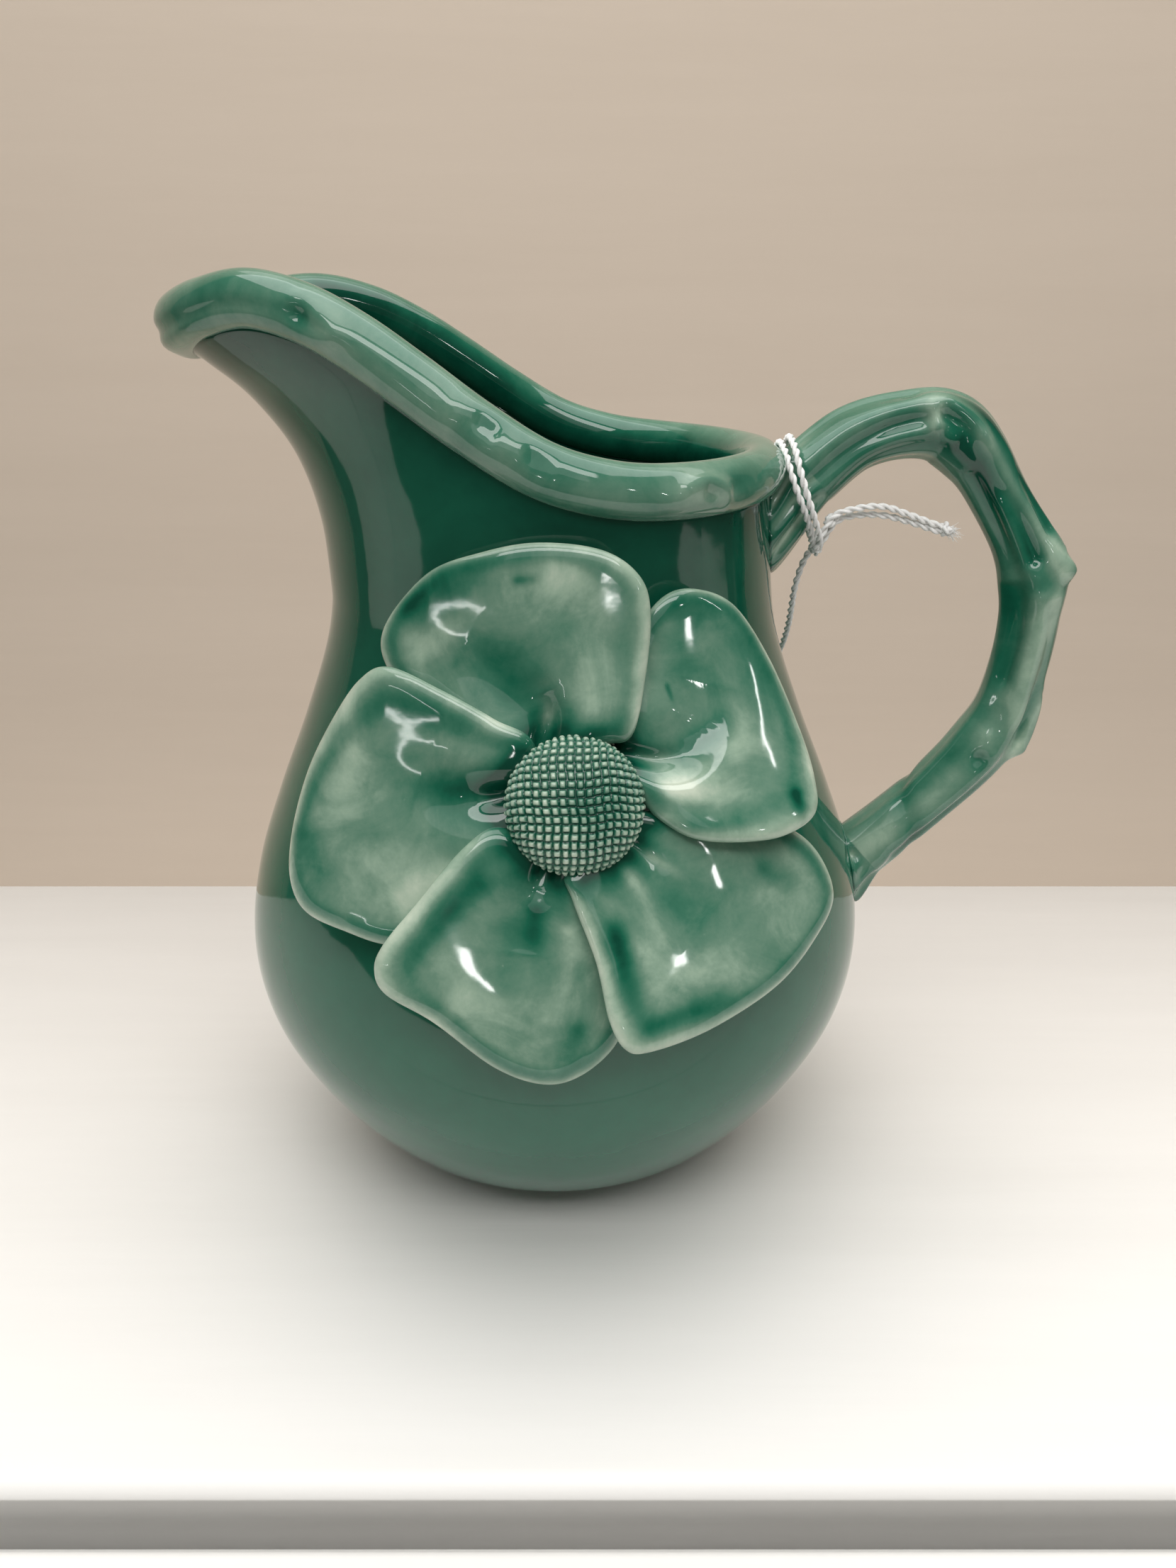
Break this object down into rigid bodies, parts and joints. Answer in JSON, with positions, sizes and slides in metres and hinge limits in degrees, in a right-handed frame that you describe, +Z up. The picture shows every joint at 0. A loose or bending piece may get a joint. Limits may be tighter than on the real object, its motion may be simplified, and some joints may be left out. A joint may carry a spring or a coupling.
{
  "type": "pitcher",
  "caption": "Glazed ceramic pitcher with a pear-shaped body, pulled spout, twig-shaped rim and handle, and a large applied five-petal flower.",
  "frame": {"origin": "centre of the foot on the surface that the pitcher stands on", "axes": "+Z up, the spout points along -X, the handle along +X, and the flower faces -Y"},
  "size_m": [0.2092, 0.1685, 0.2175],
  "materials": {
    "glaze": "glossy celadon green glaze, darker where it pools and paler on ridges",
    "petal_glaze": "glossy celadon green glaze, pale at the petal edges",
    "dome_glaze": "glossy green glaze, dark in the woven grooves and pale on the raised squares",
    "bisque": "unglazed fired clay",
    "cotton": "white two-ply cotton string"
  },
  "bodies": {
    "root": {"foot_ring": "bisque", "body_wall": "glaze", "rim_twig": "glaze", "rim_knot_spout": "glaze", "rim_knot_back": "glaze", "handle_root_upper": "glaze", "handle_twig": "glaze", "handle_knot_top": "glaze", "handle_knot_side": "glaze", "handle_knot_low": "glaze", "handle_root_lower": "glaze", "flower_pad": "glaze", "petal_top": "petal_glaze", "petal_right": "petal_glaze", "petal_low_right": "petal_glaze", "petal_low_left": "petal_glaze", "petal_left": "petal_glaze", "flower_centre": "dome_glaze", "string_wrap": "cotton", "string_hitch": "cotton", "string_tail_a": "cotton", "string_tail_b": "cotton", "string_tail_knot": "cotton", "string_end_knot": "cotton", "string_drop": "cotton", "string_drop_knot": "cotton"}
  },
  "joints": []
}
